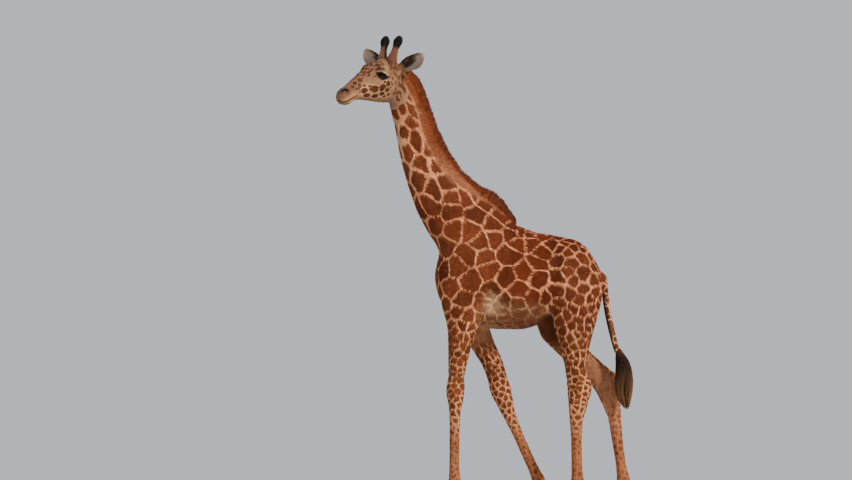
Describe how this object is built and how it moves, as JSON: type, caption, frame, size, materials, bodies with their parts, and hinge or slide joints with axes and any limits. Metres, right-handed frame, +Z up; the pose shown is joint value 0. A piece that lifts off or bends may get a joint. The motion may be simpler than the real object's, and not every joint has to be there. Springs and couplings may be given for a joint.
{
  "type": "giraffe",
  "caption": "Young reticulated giraffe in mid stride, head turned to one side, as a still life-size animal with net-like markings, short mane and tufted tail.",
  "frame": {"origin": "middle of the bottom of the bounding box, on the floor", "axes": "+Z up, the animal walks towards -X, its left side faces -Y"},
  "size_m": [1.6402, 0.517, 2.6291],
  "materials": {
    "hide": "short haired hide, matte",
    "ossicone": "haired, matte",
    "eye": "wet gloss",
    "mane_hair": "stiff short hair",
    "tail_hair": "long hair",
    "hoof": "horny, dull"
  },
  "bodies": {
    "root": {"head": "hide", "neck": "hide", "trunk": "hide", "foreleg_left_upper": "hide", "foreleg_left_lower": "hide", "foreleg_right_upper": "hide", "foreleg_right_lower": "hide", "hindleg_left_upper": "hide", "hindleg_left_lower": "hide", "hindleg_right_upper": "hide", "hindleg_right_lower": "hide", "ear_left": "hide", "ear_right": "hide", "tail": "hide", "ossicone_left": "ossicone", "ossicone_right": "ossicone", "eye_left": "eye", "eye_right": "eye", "mane": "mane_hair", "tail_tuft": "tail_hair", "forehoof_left": "hoof", "forehoof_right": "hoof", "hindhoof_left": "hoof", "hindhoof_right": "hoof"}
  },
  "joints": []
}
